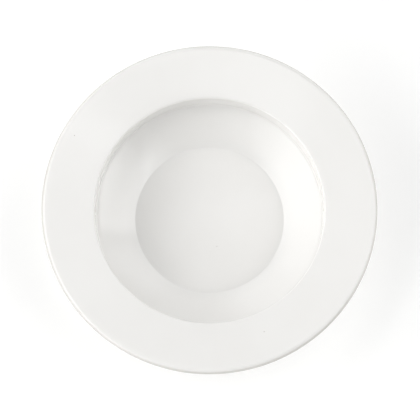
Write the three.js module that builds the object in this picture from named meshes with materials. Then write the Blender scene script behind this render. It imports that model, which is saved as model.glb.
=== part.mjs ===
// Deep plate of white glazed porcelain: a wide sloping rim round a bowl-shaped well.
// One pressed and fired body carries a coat of glaze over everything but its foot ring,
// which is wiped clean, so the glaze inside the foot ring is a separate disc.
import * as THREE from 'three';

// Driving sizes in millimetres and degrees. The axis is Z and the foot stands on z = 0.
const plateDiameter = 240; // over the glazed lip
const plateHeight = 49; // to the top of the glazed lip
const rimRise = 7; // from the fold at the well up to the lip's edge, both before rounding
const wellDiameter = 165; // at the fold between rim and well
const floorDiameter = 108; // flat floor of the well
const wallFootSlope = 27; // of the well's lower wall where it leaves the floor
const wallBendSlope = 35; // of the lower wall where it bends up
const wallTopSlope = 89; // of the straight upper wall
const wallBendRadius = 6; // between lower and upper wall
const floorThickness = 4.2;
const wallThickness = 4.6;
const rimThickness = 4.4;
const footOutset = 4.5; // of the foot ring's outside from the floor's edge
const footWidth = 3.8;
const recessDepth = 2.2; // hollow inside the foot ring
const glazeThickness = 0.3;
const fusionGap = 0.02; // keeps the facets of the glaze clear of those of the body
const bareFootHeight = 1.1; // part of the foot's sides left without glaze

const floorRounding = 3;
const foldRounding = 2.5;
const lipRounding = 1.75;
const underFoldRounding = 7;
const coveRounding = 2;
const footRounding = 0.9;
const recessRounding = 1;

const facetsAround = 48;
const wallSteps = 4; // rings of vertices on the lower wall, and as many on its bend
const roundingStep = 30; // degrees of a rounding between two rings of vertices
const roundingShare = 0.48; // most of a side that one rounding takes up

const degree = Math.PI / 180;

// Heights and radii of the unglazed body
const lipRadius = plateDiameter / 2 - glazeThickness;
const foldRadius = wellDiameter / 2;
const rimSlope = Math.atan2(rimRise, lipRadius - foldRadius);
const lostToRounding = lipRounding * (Math.tan(rimSlope) + 1 / Math.cos(rimSlope) - 1);
const lipHeight = plateHeight - glazeThickness + lostToRounding;
const foldHeight = lipHeight - rimRise;
const floorRadius = floorDiameter / 2;
const floorHeight = recessDepth + floorThickness;
const footRadius = floorRadius + footOutset;

const at = (radius, height) => new THREE.Vector2(radius, height);
const towards = (angle) => at(Math.cos(angle), Math.sin(angle));

// A corner of a section, with the radius of its rounding
const corner = (point, rounding = 0) => ({ point, rounding });

// Where two lines meet
function meeting(start, direction, otherStart, otherDirection) {
  const along = otherStart.clone().sub(start).cross(otherDirection) / direction.cross(otherDirection);
  return start.clone().addScaledVector(direction, along);
}

// Section of the well's wall: a long arc out of the floor, a bend and a straight upper wall
const floorEdge = at(floorRadius, floorHeight);
const fold = at(foldRadius, foldHeight);
const footSlope = wallFootSlope * degree;
const bendSlope = wallBendSlope * degree;
const topSlope = wallTopSlope * degree;
const topDirection = towards(topSlope);
const inwards = (slope) => towards(slope + Math.PI / 2);

// What an arc of radius 1 covers, outwards and upwards, between two slopes
const reach = (from, to) => at(Math.sin(to) - Math.sin(from), Math.cos(from) - Math.cos(to));

// The lower wall takes up what the bend and the upper wall leave of the way to the fold
const bendReach = reach(bendSlope, topSlope).multiplyScalar(wallBendRadius);
const lowerReach = reach(footSlope, bendSlope);
const wayToFold = fold.clone().sub(floorEdge).sub(bendReach);
const lowerRadius = wayToFold.cross(topDirection) / lowerReach.cross(topDirection);
const lowerCentre = floorEdge.clone().addScaledVector(inwards(footSlope), lowerRadius);
const bendCentre = lowerCentre.clone().addScaledVector(inwards(bendSlope), wallBendRadius - lowerRadius);

// Points on an arc between two slopes, both ends included
function slopeArc(centre, radius, fromSlope, toSlope) {
  return Array.from({ length: wallSteps + 1 }, (_, step) => {
    const slope = THREE.MathUtils.lerp(fromSlope, toSlope, step / wallSteps);
    return centre.clone().addScaledVector(inwards(slope), -radius);
  });
}

// The rim's underside runs parallel to its top, and the outside of the wall parallel to its
// inside. They meet under the fold, and the wall meets the foot ring at the cove.
const rimDirection = towards(rimSlope);
const rimDown = at(rimDirection.y, -rimDirection.x);
const underRim = fold.clone().addScaledVector(rimDown, rimThickness);
const underLip = underRim.clone().addScaledVector(rimDirection, (lipRadius - underRim.x) / rimDirection.x);
const lowerOutside = lowerRadius + wallThickness;
const bendOutside = slopeArc(bendCentre, wallBendRadius + wallThickness, topSlope, bendSlope);
const underFold = meeting(underRim, rimDirection, bendOutside[0], topDirection);
const coveSlope = Math.asin((footRadius - lowerCentre.x) / lowerOutside);

// Walks a run of corners and gives points with outward normals. The outside lies to the left.
function roundedRun(corners) {
  const headings = corners.slice(1).map(({ point }, index) => {
    const side = point.clone().sub(corners[index].point);
    return { length: side.length(), angle: Math.atan2(side.y, side.x) };
  });
  return corners.flatMap(({ point, rounding }, index) => {
    const before = headings[index - 1] ?? headings[index];
    const after = headings[index] ?? before;
    const turn = Math.atan2(Math.sin(after.angle - before.angle), Math.cos(after.angle - before.angle));
    const slope = Math.tan(Math.abs(turn) / 2);
    const setBack = Math.min(rounding * slope, roundingShare * Math.min(before.length, after.length));
    if (setBack === 0) {
      const normal = towards(before.angle + turn / 2 + Math.PI / 2);
      return [{ point, normal }];
    }
    const radius = (setBack / slope) * Math.sign(turn);
    const start = point.clone().addScaledVector(towards(before.angle), -setBack);
    const centre = start.addScaledVector(towards(before.angle + Math.PI / 2), radius);
    const steps = Math.ceil(Math.abs(turn) / (roundingStep * degree));
    return Array.from({ length: steps + 1 }, (_, step) => {
      const normal = towards(before.angle + (turn * step) / steps + Math.PI / 2);
      return { point: centre.clone().addScaledVector(normal, -radius), normal };
    });
  });
}

// Section of the body, from the middle of the floor over the lip to the middle of the recess
const outerGlazeLine = corner(at(footRadius, bareFootHeight));
const innerGlazeLine = corner(at(footRadius - footWidth, bareFootHeight));

const wallInside = [
  ...slopeArc(lowerCentre, lowerRadius, footSlope, bendSlope).slice(1),
  ...slopeArc(bendCentre, wallBendRadius, bendSlope, topSlope).slice(1),
];
const wallOutside = [...bendOutside, ...slopeArc(lowerCentre, lowerOutside, bendSlope, coveSlope).slice(1)];
const cove = wallOutside.pop();

const glazedRun = roundedRun([
  corner(at(0, floorHeight)),
  corner(floorEdge, floorRounding),
  ...wallInside.map((point) => corner(point)),
  corner(fold, foldRounding),
  corner(at(lipRadius, lipHeight), lipRounding),
  corner(underLip, lipRounding),
  corner(underFold, underFoldRounding),
  ...wallOutside.map((point) => corner(point)),
  corner(cove, coveRounding),
  outerGlazeLine,
]);

const bareRun = roundedRun([
  outerGlazeLine,
  corner(at(footRadius, 0), footRounding),
  corner(at(footRadius - footWidth, 0), footRounding),
  innerGlazeLine,
]);

const recessRun = roundedRun([
  innerGlazeLine,
  corner(at(footRadius - footWidth, recessDepth), recessRounding),
  corner(at(0, recessDepth)),
]);

// A section turned about Z, listed so that its faces point out
function turned(name, section, material) {
  const geometry = new THREE.LatheGeometry(section, facetsAround);
  geometry.rotateX(Math.PI / 2);
  const mesh = new THREE.Mesh(geometry, material);
  mesh.name = name;
  return mesh;
}

// Points of a run at a height over the body's surface
function above(run, height) {
  return run.map(({ point, normal }) => point.clone().addScaledVector(normal, height));
}

// The fired body: rim, well and foot ring in one piece
function porcelainBody() {
  const section = [glazedRun, bareRun.slice(1), recessRun.slice(1)].flatMap((run) => above(run, 0));
  const biscuit = new THREE.MeshStandardMaterial({ color: 0xe6e1d8, roughness: 0.75, metalness: 0 });
  return turned('porcelain_body', section.reverse(), biscuit);
}

// A coat follows one run of the body. Its section starts and ends on the axis.
function coat(name, inside, outside) {
  const glaze = new THREE.MeshStandardMaterial({ color: 0xf4f3ef, roughness: 0.08, metalness: 0 });
  return turned(name, [...inside, ...outside], glaze);
}

// Glaze of the well, the rim and the outside, down to the wiped foot
function glazeCoat() {
  return coat('glaze_coat', above(glazedRun, fusionGap), above(glazedRun, glazeThickness).reverse());
}

// Glaze inside the foot ring
function baseGlaze() {
  return coat('base_glaze', above(recessRun, glazeThickness).reverse(), above(recessRun, fusionGap));
}

const plate = new THREE.Group();
plate.name = 'deep_plate';
plate.add(porcelainBody(), glazeCoat(), baseGlaze());

export default plate;
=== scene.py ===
import math

import bpy
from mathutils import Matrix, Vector


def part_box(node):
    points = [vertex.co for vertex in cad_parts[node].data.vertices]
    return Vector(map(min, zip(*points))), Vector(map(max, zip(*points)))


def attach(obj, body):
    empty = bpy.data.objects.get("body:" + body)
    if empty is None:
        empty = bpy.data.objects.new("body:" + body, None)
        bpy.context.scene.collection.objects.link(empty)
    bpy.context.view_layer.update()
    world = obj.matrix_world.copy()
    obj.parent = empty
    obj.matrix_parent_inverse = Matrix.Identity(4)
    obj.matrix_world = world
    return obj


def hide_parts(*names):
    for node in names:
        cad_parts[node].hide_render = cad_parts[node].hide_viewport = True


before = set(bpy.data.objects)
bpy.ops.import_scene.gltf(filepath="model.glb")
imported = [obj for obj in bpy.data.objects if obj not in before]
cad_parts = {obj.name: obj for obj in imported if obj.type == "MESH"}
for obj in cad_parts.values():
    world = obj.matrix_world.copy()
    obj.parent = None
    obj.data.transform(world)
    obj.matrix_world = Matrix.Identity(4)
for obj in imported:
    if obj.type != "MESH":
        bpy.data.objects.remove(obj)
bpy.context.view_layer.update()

print("frame loaded:", ", ".join(sorted(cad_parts)))

mm = 0.001  # sizes below are in millimetres, Blender works in metres
coatLow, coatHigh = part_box("glaze_coat")

# the plate's section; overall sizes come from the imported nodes
plateForm = {
    "lipRadius": coatHigh.x / mm,
    "height": coatHigh.z / mm,
    "rimRise": 7.0,
    "wellRadius": 82.5,
    "floorRadius": 54.0,
    "wallFootSlope": 27.0,  # degrees, where the lower wall leaves the floor
    "wallBendSlope": 35.0,  # degrees, where it bends up
    "wallTopSlope": 89.0,  # degrees, of the straight upper wall
    "wallBendRadius": 3.0,
    "floorCrown": 0.6,  # the floor rises a little to its middle, as fired floors do
    "floorThickness": 4.2,
    "wallThickness": 4.6,
    "rimThickness": 4.4,
    "footOutset": 4.5,
    "footWidth": 3.8,
    "recessDepth": 2.2,
    "glaze": 0.3,
    "glazeBead": 0.16,  # the glaze swells where it was wiped off the foot
    "fusionGap": 0.02,
    "bareFoot": coatLow.z / mm,
    "floorRounding": 1.6,
    "foldRounding": 1.5,
    "lipRounding": 2.9,
    "underLipRounding": 1.0,
    "underFoldRounding": 7.0,
    "coveRounding": 2.0,
    "footRounding": 0.9,
    "recessRounding": 1.0,
}
sideShare = 0.98  # most of a side that the roundings at its two ends take up
tiny = 1e-6  # shorter than any rounding


def towards(angle):
    return Vector((math.cos(angle), math.sin(angle)))


# follows corners (point, rounding) and gives points with outward normals; outside is on the left
def roundedRun(corners, stepDegrees):
    sides = []
    for (here, _), (there, _) in zip(corners, corners[1:]):
        side = there - here
        sides.append((side.length, math.atan2(side.y, side.x)))
    turns = [0.0]
    for (_, before), (_, after) in zip(sides, sides[1:]):
        turns.append(math.remainder(after - before, 2 * math.pi))
    turns.append(0.0)
    setBacks = [rounding * math.tan(abs(turn) / 2) for (_, rounding), turn in zip(corners, turns)]

    # two roundings that would meet on a side share it
    shares = [1.0]
    for (length, _), first, second in zip(sides, setBacks, setBacks[1:]):
        shares.append(min(1.0, sideShare * length / max(first + second, tiny)))
    shares.append(1.0)

    run = []
    for i, (point, _) in enumerate(corners):
        headingIn = sides[max(i - 1, 0)][1]
        turn = turns[i]
        setBack = setBacks[i] * min(shares[i], shares[i + 1])
        if setBack < tiny:
            run.append((point, towards(headingIn + turn / 2 + math.pi / 2)))
            continue
        radius = math.copysign(setBack / math.tan(abs(turn) / 2), turn)
        centre = point - towards(headingIn) * setBack + towards(headingIn + math.pi / 2) * radius
        steps = math.ceil(abs(math.degrees(turn)) / stepDegrees)
        for step in range(steps + 1):
            normal = towards(headingIn + turn * step / steps + math.pi / 2)
            run.append((centre - normal * radius, normal))
    return run


# adds points until no two neighbours are further apart than the spacing
def evenRun(run, spacing):
    even = [run[0]]
    for (here, normalHere), (there, normalThere) in zip(run, run[1:]):
        parts = max(1, math.ceil((there - here).length / spacing))
        for part in range(1, parts + 1):
            share = part / parts
            even.append((here.lerp(there, share), normalHere.lerp(normalThere, share).normalized()))
    return even


# where two lines meet
def meeting(start, way, otherStart, otherWay):
    return start + way * ((otherStart - start).cross(otherWay) / way.cross(otherWay))


# what an arc of radius 1 covers, outwards and upwards, between two slopes
def reach(start, end):
    return Vector((math.sin(end) - math.sin(start), math.cos(start) - math.cos(end)))


# points of an arc that rises outwards from one slope to another
def slopeArc(centre, radius, start, end, steps):
    slopes = [start + (end - start) * k / steps for k in range(steps + 1)]
    return [centre - towards(slope + math.pi / 2) * radius for slope in slopes]


# three runs of the section: glazed top and outside, bare foot, glazed recess
def plateRuns(form, stepDegrees, wallSteps, crownSteps):
    lipRadius = form["lipRadius"] - form["glaze"]
    rimSlope = math.atan2(form["rimRise"], lipRadius - form["wellRadius"])
    cutByRounding = form["lipRounding"] * (math.tan(rimSlope) + 1 / math.cos(rimSlope) - 1)
    lipHeight = form["height"] - form["glaze"] + cutByRounding
    floorHeight = form["recessDepth"] + form["floorThickness"]
    footRadius = form["floorRadius"] + form["footOutset"]

    floorEdge = Vector((form["floorRadius"], floorHeight))
    fold = Vector((form["wellRadius"], lipHeight - form["rimRise"]))

    # the well's wall: a long arc out of the floor, a bend and a straight upper wall
    footSlope = math.radians(form["wallFootSlope"])
    bendSlope = math.radians(form["wallBendSlope"])
    topSlope = math.radians(form["wallTopSlope"])
    topWay = towards(topSlope)
    bendReach = reach(bendSlope, topSlope) * form["wallBendRadius"]
    lowerReach = reach(footSlope, bendSlope)
    lowerRadius = (fold - floorEdge - bendReach).cross(topWay) / lowerReach.cross(topWay)
    lowerCentre = floorEdge + towards(footSlope + math.pi / 2) * lowerRadius
    bendCentre = lowerCentre + towards(bendSlope + math.pi / 2) * (form["wallBendRadius"] - lowerRadius)
    inside = slopeArc(lowerCentre, lowerRadius, footSlope, bendSlope, wallSteps)[1:]
    inside += slopeArc(bendCentre, form["wallBendRadius"], bendSlope, topSlope, wallSteps)[1:]

    # the rim's underside and the outside of the wall run parallel to what shows from above
    rimWay = towards(rimSlope)
    underRim = fold + Vector((rimWay.y, -rimWay.x)) * form["rimThickness"]
    underLip = underRim + rimWay * ((lipRadius - underRim.x) / rimWay.x)
    outerRadius = lowerRadius + form["wallThickness"]
    coveSlope = math.asin((footRadius - lowerCentre.x) / outerRadius)
    bendOutside = form["wallBendRadius"] + form["wallThickness"]
    outside = slopeArc(bendCentre, bendOutside, topSlope, bendSlope, wallSteps)
    underFold = meeting(underRim, rimWay, outside[0], topWay)
    outside += slopeArc(lowerCentre, outerRadius, bendSlope, coveSlope, wallSteps)[1:]

    def crowned(k):
        share = k / crownSteps
        rise = form["floorCrown"] * (1 - share**2)
        return (Vector((form["floorRadius"] * share, floorHeight + rise)), 0)

    outerLine = (Vector((footRadius, form["bareFoot"])), 0)
    innerLine = (Vector((footRadius - form["footWidth"], form["bareFoot"])), 0)
    glazed = [crowned(k) for k in range(crownSteps)]
    glazed += [(floorEdge, form["floorRounding"])]
    glazed += [(point, 0) for point in inside]
    glazed += [(fold, form["foldRounding"]), (Vector((lipRadius, lipHeight)), form["lipRounding"])]
    glazed += [(underLip, form["underLipRounding"]), (underFold, form["underFoldRounding"])]
    glazed += [(point, 0) for point in outside[:-1]]
    glazed += [(outside[-1], form["coveRounding"]), outerLine]
    bare = [outerLine]
    bare += [(Vector((footRadius, 0)), form["footRounding"])]
    bare += [(Vector((footRadius - form["footWidth"], 0)), form["footRounding"]), innerLine]
    recess = [innerLine]
    recess += [(Vector((footRadius - form["footWidth"], form["recessDepth"])), form["recessRounding"])]
    recess += [(Vector((0, form["recessDepth"])), 0)]
    return [roundedRun(corners, stepDegrees) for corners in (glazed, bare, recess)]


# coarse runs where glaze and body meet, fine runs for what shows
jointDetail = {"stepDegrees": 22, "wallSteps": 6, "crownSteps": 4}
faceDetail = {"stepDegrees": 6, "wallSteps": 12, "crownSteps": 10}
jointGlazed, _, jointRecess = plateRuns(plateForm, **jointDetail)
fineGlazed, fineBare, fineRecess = plateRuns(plateForm, **faceDetail)
print("section:", len(fineGlazed) + len(fineBare) + len(fineRecess), "points")


# small helpers for building node trees
def addNode(tree, kind, inputs=None, **settings):
    node = tree.nodes.new(kind)
    for name, value in settings.items():
        setattr(node, name, value)
    for key, value in (inputs or {}).items():
        if isinstance(value, bpy.types.NodeSocket):
            tree.links.new(value, node.inputs[key])
        else:
            node.inputs[key].default_value = value
    return node


def maths(tree, operation, first, second=0.0, third=0.0):
    inputs = {0: first, 1: second, 2: third}
    return addNode(tree, "ShaderNodeMath", inputs, operation=operation).outputs[0]


def vectorMaths(tree, operation, inputs):
    return addNode(tree, "ShaderNodeVectorMath", inputs, operation=operation).outputs["Vector"]


# a grid whose columns take the section's points and whose rows turn round the plate's axis
turningInputs = {
    "Section": "NodeSocketGeometry",
    "Facets Around": "NodeSocketInt",
    "Plate Height": "NodeSocketFloat",
    "Foot Height": "NodeSocketFloat",
    "Out Of Round": "NodeSocketFloat",
    "Rim Wave": "NodeSocketFloat",
    "Unevenness": "NodeSocketFloat",
    "Unevenness Scale": "NodeSocketFloat",
    "Seed": "NodeSocketInt",
    "Material": "NodeSocketMaterial",
}
seamGap = 0.002 * mm  # points closer than this are joined, at the seam and on the axis
wavePhase = 0.7  # radians that the rim's wave is turned by


def buildTurningTree():
    tree = bpy.data.node_groups.new("plateTurning", "GeometryNodeTree")
    for name, kind in turningInputs.items():
        tree.interface.new_socket(name, in_out="INPUT", socket_type=kind)
    tree.interface.new_socket("Piece", in_out="OUTPUT", socket_type="NodeSocketGeometry")
    given = tree.nodes.new("NodeGroupInput").outputs

    # one column of the grid for each point of the section
    points = addNode(tree, "GeometryNodeAttributeDomainSize", {"Geometry": given["Section"]})
    rows = maths(tree, "ADD", given["Facets Around"], 1)
    grid = addNode(
        tree,
        "GeometryNodeMeshGrid",
        {"Vertices X": points.outputs["Point Count"], "Vertices Y": rows},
    )
    index = tree.nodes.new("GeometryNodeInputIndex").outputs[0]
    column = addNode(tree, "FunctionNodeIntegerMath", {0: index, 1: rows}, operation="DIVIDE_FLOOR")
    row = addNode(tree, "FunctionNodeIntegerMath", {0: index, 1: rows}, operation="MODULO")
    position = tree.nodes.new("GeometryNodeInputPosition").outputs[0]
    sectionPoint = addNode(
        tree,
        "GeometryNodeSampleIndex",
        {"Geometry": given["Section"], "Value": position, "Index": column.outputs[0]},
        data_type="FLOAT_VECTOR",
    )
    stepAngle = maths(tree, "DIVIDE", 2 * math.pi, given["Facets Around"])
    turned = addNode(
        tree,
        "ShaderNodeVectorRotate",
        {"Vector": sectionPoint.outputs[0], "Angle": maths(tree, "MULTIPLY", row.outputs[0], stepAngle)},
        rotation_type="Z_AXIS",
    )
    placed = addNode(
        tree, "GeometryNodeSetPosition", {"Geometry": grid.outputs["Mesh"], "Position": turned.outputs[0]}
    )
    closed = addNode(
        tree, "GeometryNodeMergeByDistance", {"Geometry": placed.outputs[0], "Distance": seamGap}
    )

    # firing leaves the rim slightly oval and wavy; the foot is ground flat and keeps its place
    xyz = addNode(tree, "ShaderNodeSeparateXYZ", {0: position}).outputs
    around = maths(tree, "ARCTAN2", xyz["Y"], xyz["X"])
    twice = maths(tree, "COSINE", maths(tree, "MULTIPLY", around, 2))
    turnedTwice = maths(tree, "SINE", maths(tree, "MULTIPLY_ADD", around, 2, wavePhase))
    rise = maths(tree, "DIVIDE", xyz["Z"], given["Plate Height"])
    risen = maths(tree, "POWER", maths(tree, "MAXIMUM", rise, 0), 2)
    oval = maths(tree, "MULTIPLY", maths(tree, "MULTIPLY", twice, given["Out Of Round"]), risen)
    flat = addNode(tree, "ShaderNodeCombineXYZ", {"X": xyz["X"], "Y": xyz["Y"]}).outputs[0]
    outward = vectorMaths(tree, "NORMALIZE", {0: flat})
    pushed = vectorMaths(tree, "SCALE", {0: outward, "Scale": oval})
    wave = maths(tree, "MULTIPLY", maths(tree, "MULTIPLY", turnedTwice, given["Rim Wave"]), risen)
    lifted = addNode(tree, "ShaderNodeCombineXYZ", {"Z": wave}).outputs[0]
    warp = vectorMaths(tree, "ADD", {0: pushed, 1: lifted})

    # the soft unevenness of a pressed and glazed surface
    noise = addNode(
        tree,
        "ShaderNodeTexNoise",
        {"Vector": position, "W": given["Seed"], "Scale": given["Unevenness Scale"], "Detail": 1.0},
        noise_dimensions="4D",
    )
    centred = vectorMaths(tree, "SUBTRACT", {0: noise.outputs["Color"], 1: (0.5, 0.5, 0.5)})
    aboveFoot = addNode(tree, "ShaderNodeMapRange", {"Value": xyz["Z"], "From Max": given["Foot Height"]})
    strength = maths(tree, "MULTIPLY", aboveFoot.outputs[0], given["Unevenness"])
    uneven = vectorMaths(tree, "SCALE", {0: centred, "Scale": strength})
    offset = vectorMaths(tree, "ADD", {0: warp, 1: uneven})
    fired = addNode(tree, "GeometryNodeSetPosition", {"Geometry": closed.outputs[0], "Offset": offset})

    smooth = addNode(tree, "GeometryNodeSetShadeSmooth", {"Geometry": fired.outputs[0]})
    real = addNode(tree, "GeometryNodeRealizeInstances", {"Geometry": smooth.outputs[0]})
    finished = addNode(
        tree, "GeometryNodeSetMaterial", {"Geometry": real.outputs[0], "Material": given["Material"]}
    )
    result = tree.nodes.new("NodeGroupOutput")
    tree.links.new(finished.outputs[0], result.inputs["Piece"])
    return tree


firing = {
    "Facets Around": 400,
    "Plate Height": plateForm["height"] * mm,
    "Foot Height": 6 * mm,
    "Out Of Round": 0.2 * mm,
    "Rim Wave": 0.3 * mm,
    "Unevenness": 0.12 * mm,
    "Unevenness Scale": 24.0,  # features of about 40 mm
    "Seed": 7,
}
turningTree = buildTurningTree()
print("turning tree:", len(turningTree.nodes), "nodes")


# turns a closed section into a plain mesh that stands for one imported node
def turnPiece(name, node, section, material):
    mesh = bpy.data.meshes.new(name)
    points = [(max(point.x, 0) * mm, 0, point.y * mm) for point in section]
    mesh.from_pydata(points, [(i, i + 1) for i in range(len(points) - 1)], [])
    piece = bpy.data.objects.new(name, mesh)
    bpy.context.scene.collection.objects.link(piece)
    turning = piece.modifiers.new("turning", "NODES")
    turning.node_group = turningTree
    settings = dict(firing, Material=material)
    for socket in turningTree.interface.items_tree:
        if socket.in_out == "INPUT" and socket.name in settings:
            turning[socket.identifier] = settings[socket.name]
    depsgraph = bpy.context.evaluated_depsgraph_get()
    piece.data = bpy.data.meshes.new_from_object(piece.evaluated_get(depsgraph), depsgraph=depsgraph)
    piece.modifiers.remove(turning)
    bpy.data.meshes.remove(mesh)
    piece.data.name = name
    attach(piece, "root")
    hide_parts(node)
    print("turned", name, len(piece.data.vertices), "points", len(piece.data.polygons), "faces")


# points of a run at a height over the body
def above(run, height):
    return [point + normal * height for point, normal in run]


# length of a run that is left from each of its points to its end
def lengthsLeft(run):
    lengths = [0.0]
    backwards = list(reversed(run))
    for (here, _), (there, _) in zip(backwards, backwards[1:]):
        lengths.append(lengths[-1] + (there - here).length)
    lengths.reverse()
    return lengths


# a coat's wiped edge, as lengths along the section from its end
wipedEdge = {
    "closing": 0.4,  # the glaze rounds off over this length
    "beadPlace": 0.75,
    "beadWidth": 0.45,
    "reach": 1.4,  # length with closely spaced points
    "spacing": 0.12,
}
faceSpacing = 4.0


# visible face of a coat; its thickness swells to a bead and closes at the run's end
def coatFace(run, form, edge):
    even = evenRun(run, faceSpacing)
    tail = next(i for i, left in enumerate(lengthsLeft(even)) if left < edge["reach"])
    fine = even[: tail - 1] + evenRun(even[tail - 1 :], edge["spacing"])
    face = []
    for (point, normal), left in zip(fine, lengthsLeft(fine)):
        bead = math.exp(-(((left - edge["beadPlace"]) / edge["beadWidth"]) ** 2))
        thickness = form["glaze"] + form["glazeBead"] * bead
        if left < edge["closing"]:
            thickness *= math.sqrt(1 - (1 - left / edge["closing"]) ** 2)
        face.append(point + normal * max(thickness, form["fusionGap"]))
    return face


def mixColour(tree, share, first, second):
    inputs = {0: share, 6: first, 7: second}
    return addNode(tree, "ShaderNodeMix", inputs, data_type="RGBA").outputs[2]


# a soft step from 0 at the first end to 1 at the second, whichever of the two is larger
def softStep(tree, value, first, second):
    inputs = {"Value": value, "From Min": first, "From Max": second}
    return addNode(tree, "ShaderNodeMapRange", inputs, interpolation_type="SMOOTHSTEP").outputs[0]


def noiseAt(tree, vector, scale, detail):
    inputs = {"Vector": vector, "Scale": scale, "Detail": detail, "Roughness": 0.5}
    return addNode(tree, "ShaderNodeTexNoise", inputs).outputs[0]


# a value that spreads evenly round its middle
def spreadRound(tree, noise, middle, spread):
    return maths(tree, "MULTIPLY_ADD", noise, spread, middle - 0.5 * spread)


def bumpFrom(tree, height, strength, depth):
    inputs = {"Height": height, "Strength": strength, "Distance": depth * mm}
    return addNode(tree, "ShaderNodeBump", inputs).outputs[0]


# a new material, with the surface point in the plate's own frame
def startMaterial(name):
    material = bpy.data.materials.new(name)
    material.use_nodes = True
    tree = material.node_tree
    point = addNode(tree, "ShaderNodeTexCoord").outputs["Object"]
    return material, tree, tree.nodes["Principled BSDF"], point


def heightOf(tree, point):
    return addNode(tree, "ShaderNodeSeparateXYZ", {0: point}).outputs["Z"]


# distance from the plate's axis
def radiusOf(tree, point):
    xyz = addNode(tree, "ShaderNodeSeparateXYZ", {0: point}).outputs
    flat = addNode(tree, "ShaderNodeCombineXYZ", {"X": xyz["X"], "Y": xyz["Y"]}).outputs[0]
    return addNode(tree, "ShaderNodeVectorMath", {0: flat}, operation="LENGTH").outputs["Value"]


# white glaze: a little greyer where it pooled, greyer at the lip where it is thin and darker still there
# as painted shade, with a few fired-in specks
# spans are the ends of a soft step in a noise, scales are features per metre, lengths are millimetres
whiteGlazeLook = {
    "tone": (0.868, 0.861, 0.842, 1),
    "toneDeep": (0.860, 0.852, 0.832, 1),
    "mottleScale": 26.0,
    "mottleSpan": (0.38, 0.66),
    "poolTone": (0.852, 0.846, 0.828, 1),
    "poolRadius": 56.0,
    "poolWidth": 7.0,
    "poolTop": 16.0,
    "poolFull": 6.4,  # height below which the pool has its full tone
    # painted shade: the lip's tone is darker than thin glaze alone, to draw a dark outline round the lip
    "lipThinGlazeAndShadeTone": (0.65, 0.63, 0.60, 1),
    "lipReach": 1.9,
    "lipFull": 0.3,  # distance from the lip within which it has its full tone
    "speckTone": (0.30, 0.26, 0.22, 1),
    "speckScale": 48.0,
    "speckRadius": 0.42,
    "speckCore": 0.4,  # share of a speck that has its full tone
    "scratchScaleAcross": 1100.0,
    "scratchScaleAlong": 22.0,
    "scratchAngles": (0.5, 2.1),  # radians
    "scratchSpan": (0.70, 0.78),
    "scratchReach": 52.0,
    "scratchFull": 41.6,  # radius within which the marks are at their strongest
    "roughness": 0.045,
    "roughnessSpread": 0.03,
    "roughnessScale": 78.0,
    "scratchRoughness": 0.16,
    "peelScale": 420.0,
    "peelDepth": 0.004,
    "peelStrength": 0.5,
}


def buildWhiteGlaze(look):
    material, tree, shader, point = startMaterial("whiteGlaze")
    radius = radiusOf(tree, point)
    height = heightOf(tree, point)

    mottle = softStep(tree, noiseAt(tree, point, look["mottleScale"], detail=2.0), *look["mottleSpan"])
    colour = mixColour(tree, mottle, look["tone"], look["toneDeep"])

    # pooled glaze in the corners of floor and foot
    offPool = maths(tree, "ABSOLUTE", maths(tree, "SUBTRACT", radius, look["poolRadius"] * mm))
    inPool = softStep(tree, offPool, look["poolWidth"] * mm, 0.0)
    lowDown = softStep(tree, height, look["poolTop"] * mm, look["poolFull"] * mm)
    colour = mixColour(tree, maths(tree, "MULTIPLY", inPool, lowDown), colour, look["poolTone"])

    # glaze pulls thin over the lip; the lip is also darkened all round as painted shade, a dark outline
    lipRadius = plateForm["lipRadius"] * mm
    lipThinGlazeAndShade = softStep(tree, radius, lipRadius - look["lipReach"] * mm, lipRadius - look["lipFull"] * mm)
    colour = mixColour(tree, lipThinGlazeAndShade, colour, look["lipThinGlazeAndShadeTone"])

    cells = addNode(tree, "ShaderNodeTexVoronoi", {"Vector": point, "Scale": look["speckScale"]})
    speckEdge = look["speckRadius"] * mm * look["speckScale"]
    speck = softStep(tree, cells.outputs["Distance"], speckEdge, look["speckCore"] * speckEdge)
    colour = mixColour(tree, speck, colour, look["speckTone"])
    tree.links.new(colour, shader.inputs["Base Color"])

    # hairline marks of cutlery on the floor of the well, in two directions
    scratches = 0.0
    stretch = (look["scratchScaleAlong"], look["scratchScaleAcross"], look["scratchScaleAlong"])
    for angle in look["scratchAngles"]:
        inputs = {"Vector": point, "Rotation": (0, 0, angle), "Scale": stretch}
        stretched = addNode(tree, "ShaderNodeMapping", inputs).outputs[0]
        lines = softStep(tree, noiseAt(tree, stretched, scale=1.0, detail=1.0), *look["scratchSpan"])
        scratches = maths(tree, "ADD", lines, scratches)
    onFloor = softStep(tree, radius, look["scratchReach"] * mm, look["scratchFull"] * mm)
    scratches = maths(tree, "MULTIPLY", scratches, onFloor)

    gloss = noiseAt(tree, point, look["roughnessScale"], detail=3.0)
    roughness = spreadRound(tree, gloss, look["roughness"], look["roughnessSpread"])
    roughness = maths(tree, "MULTIPLY_ADD", scratches, look["scratchRoughness"], roughness)
    tree.links.new(roughness, shader.inputs["Roughness"])

    peel = noiseAt(tree, point, look["peelScale"], detail=1.0)
    bump = bumpFrom(tree, peel, look["peelStrength"], look["peelDepth"])
    tree.links.new(bump, shader.inputs["Normal"])
    return material


# bare fired clay of the foot: dry, grainy, a little grey where it stands
bareBiscuitLook = {
    "tone": (0.70, 0.66, 0.60, 1),
    "toneDeep": (0.60, 0.55, 0.48, 1),
    "mottleScale": 90.0,
    "mottleSpan": (0.35, 0.7),
    "wearTone": (0.48, 0.46, 0.43, 1),
    "wearHeight": 0.5,
    "wearScale": 270.0,
    "wearSpan": (0.45, 0.7),
    "grainScale": 2600.0,
    "grainDepth": 0.06,
    "grainStrength": 0.8,
    "roughness": 0.72,
    "roughnessSpread": 0.2,
}


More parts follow.
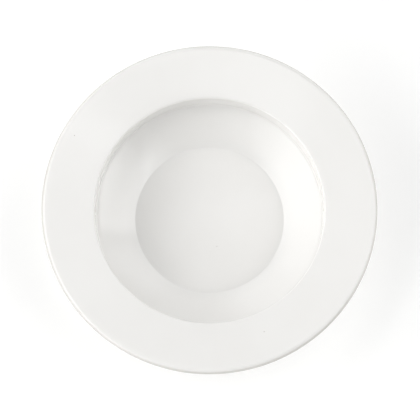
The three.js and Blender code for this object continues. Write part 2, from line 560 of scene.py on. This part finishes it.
def buildBareBiscuit(look):
    material, tree, shader, point = startMaterial("bareBiscuit")

    mottle = softStep(tree, noiseAt(tree, point, look["mottleScale"], detail=3.0), *look["mottleSpan"])
    colour = mixColour(tree, mottle, look["tone"], look["toneDeep"])
    standing = softStep(tree, heightOf(tree, point), look["wearHeight"] * mm, 0.0)
    worn = softStep(tree, noiseAt(tree, point, look["wearScale"], detail=2.0), *look["wearSpan"])
    colour = mixColour(tree, maths(tree, "MULTIPLY", standing, worn), colour, look["wearTone"])
    tree.links.new(colour, shader.inputs["Base Color"])

    grain = noiseAt(tree, point, look["grainScale"], detail=2.0)
    roughness = spreadRound(tree, grain, look["roughness"], look["roughnessSpread"])
    tree.links.new(roughness, shader.inputs["Roughness"])
    bump = bumpFrom(tree, grain, look["grainStrength"], look["grainDepth"])
    tree.links.new(bump, shader.inputs["Normal"])
    return material


whiteGlaze = buildWhiteGlaze(whiteGlazeLook)
bareBiscuit = buildBareBiscuit(bareBiscuitLook)
print("finishes:", whiteGlaze.name, bareBiscuit.name)

# sections run so that the outside lies on the left; the coats' hidden faces run back
bodySection = above(jointGlazed, 0) + above(fineBare[1:], 0) + above(jointRecess[1:], 0)
coatSection = coatFace(fineGlazed, plateForm, wipedEdge)
coatSection += list(reversed(above(jointGlazed, plateForm["fusionGap"])))
recessFace = coatFace(list(reversed(fineRecess)), plateForm, wipedEdge)
baseSection = list(reversed(above(jointRecess, plateForm["fusionGap"]))) + list(reversed(recessFace))

turnPiece("porcelainBody", "porcelain_body", bodySection, bareBiscuit)
turnPiece("glazeCoat", "glaze_coat", coatSection, whiteGlaze)
turnPiece("baseGlaze", "base_glaze", baseSection, whiteGlaze)


studioFloor = {
    "size": 8.0,  # metres
    "tone": (0.76, 0.76, 0.755, 1),
    "toneDeep": (0.74, 0.74, 0.735, 1),
    "paperScale": 12.0,
    "roughness": 0.9,
    "specular": 0.1,
    "glow": 0.3,  # a light table, so shadows stay pale
}


def layFloor(look):
    half = look["size"] / 2
    corners = [(-half, -half, 0), (half, -half, 0), (half, half, 0), (-half, half, 0)]
    mesh = bpy.data.meshes.new("studioFloor")
    mesh.from_pydata(corners, [], [(0, 1, 2, 3)])
    floor = bpy.data.objects.new("studioFloor", mesh)
    bpy.context.scene.collection.objects.link(floor)
    material, tree, shader, point = startMaterial("paleFloor")
    shader.inputs["Roughness"].default_value = look["roughness"]
    shader.inputs["Specular IOR Level"].default_value = look["specular"]
    shader.inputs["Emission Color"].default_value = (1, 1, 1, 1)
    shader.inputs["Emission Strength"].default_value = look["glow"]
    paper = noiseAt(tree, point, look["paperScale"], detail=2.0)
    tree.links.new(mixColour(tree, paper, look["tone"], look["toneDeep"]), shader.inputs["Base Color"])
    mesh.materials.append(material)


layFloor(studioFloor)

# softboxes by direction from the plate; reach is half the angle they fill, across and upwards,
# and soft is how much of each half fades towards its edge: two edges across, two edges upwards
softboxes = {
    "windowLeft": {
        "azimuth": 188, "elevation": 35, "reach": (56, 21), "brightness": 2.65,
        "soft": ((0.9, 0.9), (0.9, 0.9)),
    },
    "lowLeft": {
        "azimuth": 219, "elevation": 15, "reach": (33, 16), "brightness": 2.75,
        "soft": ((0.95, 0.95), (0.6, 0.6)),
    },
    "lowBack": {
        "azimuth": 122, "elevation": 18.5, "reach": (35, 14), "brightness": 1.6,
        "soft": ((0.95, 0.95), (0.4, 0.4)),
    },
    "frontLeft": {
        "azimuth": 243, "elevation": 33, "reach": (22, 14), "brightness": 0.87,
        "soft": ((0.95, 0.95), (0.5, 0.5)),
    },
    "panelRight": {
        "azimuth": -6, "elevation": 36, "reach": (30, 13), "brightness": 2.15,
        "soft": ((0.9, 0.4), (0.15, 0.3)),
    },
    "highRight": {
        "azimuth": 4, "elevation": 54, "reach": (42, 11), "brightness": 1.53,
        "soft": ((0.5, 0.5), (0.5, 0.5)),
    },
    "lowRight": {
        "azimuth": -3, "elevation": 8, "reach": (27, 6.5), "brightness": 4.2,
        "soft": ((0.9, 0.9), (0.7, 0.7)),
    },
    "sideBack": {
        "azimuth": 46, "elevation": 27, "reach": (28, 13), "brightness": 1.17,
        "soft": ((0.8, 0.8), (0.8, 0.8)),
    },
    "overhead": {
        "azimuth": 41, "elevation": 66, "reach": (22, 18), "brightness": 1.03,
        "soft": ((0.9, 0.9), (0.4, 0.4)),
    },
    "topLeft": {
        "azimuth": 155, "elevation": 58, "reach": (36, 9), "brightness": 1.67,
        "soft": ((0.6, 0.6), (0.8, 0.8)),
    },
    "top": {
        "azimuth": 204, "elevation": 88, "reach": (9, 22), "brightness": 0.71,
        "soft": ((0.8, 0.8), (0.4, 0.4)),
    },
}
lightDistance = 2.5  # metres
boxWatts = 4  # for each square metre of a softbox, at brightness 1
roomGlow = 0.06


def hangSoftbox(name, setting):
    azimuth = math.radians(setting["azimuth"])
    elevation = math.radians(setting["elevation"])
    level = math.cos(elevation)
    way = Vector((math.cos(azimuth) * level, math.sin(azimuth) * level, math.sin(elevation)))
    light = bpy.data.lights.new(name, "AREA")
    light.shape = "RECTANGLE"
    spans = [2 * lightDistance * math.tan(math.radians(half)) for half in setting["reach"]]
    light.size, light.size_y = spans
    light.energy = boxWatts * setting["brightness"] * light.size * light.size_y
    light.use_nodes = True

    # the cloth glows in its middle and fades towards its edges
    tree = light.node_tree
    across = addNode(tree, "ShaderNodeNewGeometry").outputs["Parametric"]
    sides = addNode(tree, "ShaderNodeSeparateXYZ", {0: across}).outputs
    glow = 1.0
    for side, (fadeStart, fadeEnd) in zip(("X", "Y"), setting["soft"]):
        glow = maths(tree, "MULTIPLY", softStep(tree, sides[side], 0.0, fadeStart / 2), glow)
        glow = maths(tree, "MULTIPLY", softStep(tree, sides[side], 1.0, 1.0 - fadeEnd / 2), glow)
    tree.links.new(glow, tree.nodes["Emission"].inputs["Strength"])

    box = bpy.data.objects.new(name, light)
    box.location = way * lightDistance
    box.rotation_euler = way.to_track_quat("Z", "Y").to_euler()
    box.visible_camera = False
    bpy.context.scene.collection.objects.link(box)


def lightRoom():
    world = bpy.data.worlds.new("studioRoom")
    world.use_nodes = True
    background = world.node_tree.nodes["Background"]
    background.inputs["Color"].default_value = (1, 1, 1, 1)
    background.inputs["Strength"].default_value = roomGlow
    bpy.context.scene.world = world


for boxName, boxSetting in softboxes.items():
    hangSoftbox(boxName, boxSetting)
lightRoom()
print("lights:", ", ".join(softboxes))

# the photograph looks steeply down from the front; lengths in metres, but the sensor in millimetres
viewpoint = {
    "elevation": 78.2,
    "distance": 2.4,
    "frameWidth": 0.3,
    "aim": (0.0004, -0.0017, 0.049),
    "sensorWidth": 36,
}


def placeCamera(setting):
    elevation = math.radians(setting["elevation"])
    back = Vector((0, -math.cos(elevation), math.sin(elevation)))
    lens = bpy.data.cameras.new("photoCamera")
    lens.sensor_fit = "HORIZONTAL"
    lens.sensor_width = setting["sensorWidth"]
    lens.lens = lens.sensor_width * setting["distance"] / setting["frameWidth"]
    camera = bpy.data.objects.new("photoCamera", lens)
    camera.location = Vector(setting["aim"]) + back * setting["distance"]
    camera.rotation_euler = back.to_track_quat("Z", "Y").to_euler()
    bpy.context.scene.collection.objects.link(camera)
    bpy.context.scene.camera = camera


placeCamera(viewpoint)
bpy.context.scene.view_settings.view_transform = "Standard"
